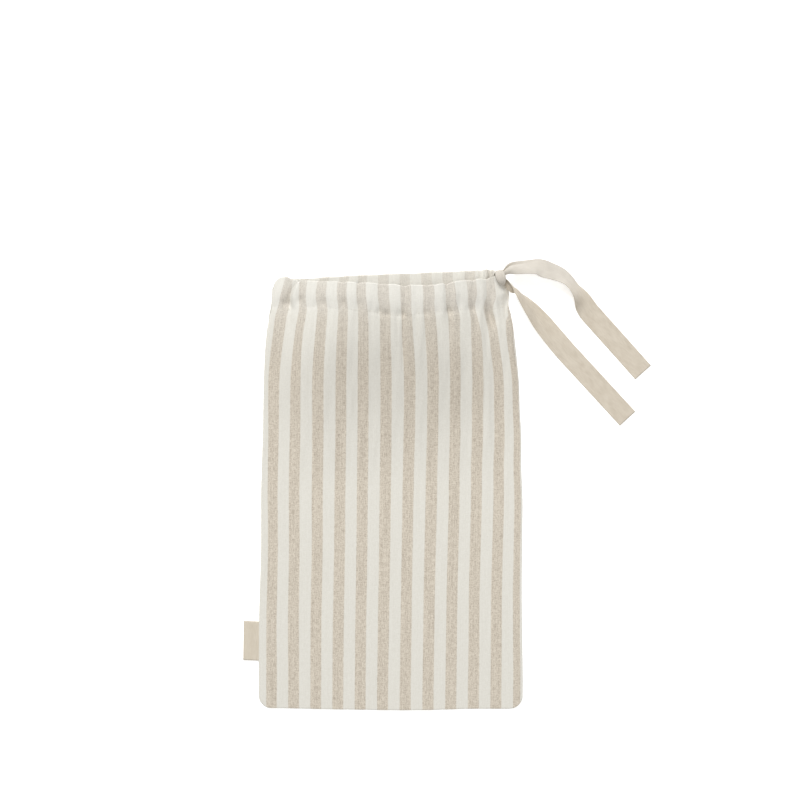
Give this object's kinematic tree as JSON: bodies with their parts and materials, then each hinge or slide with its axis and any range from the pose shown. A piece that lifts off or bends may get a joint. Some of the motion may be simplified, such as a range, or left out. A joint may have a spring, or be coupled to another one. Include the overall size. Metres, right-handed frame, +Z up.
{
  "type": "linen bread bag",
  "caption": "Flat striped linen drawstring bag lying on its back, its gathered mouth a little open, with a knotted tape and its loose ends at one corner.",
  "frame": {"origin": "middle of the flat underside of the back panel", "axes": "+Y towards the mouth, +X towards the corner where the drawstring comes out, +Z up from the surface it lies on"},
  "size_m": [0.4285, 0.4723, 0.0474],
  "materials": {
    "striped_linen": "plain woven linen, off-white with natural flax stripes along its length",
    "cotton_tape": "flat woven cotton tape, cream, matt",
    "label_tape": "folded woven cotton label, cream, left blank"
  },
  "bodies": {
    "root": {"front_panel": "striped_linen", "back_panel": "striped_linen", "drawstring_tape": "cotton_tape", "side_label": "label_tape"}
  },
  "joints": []
}
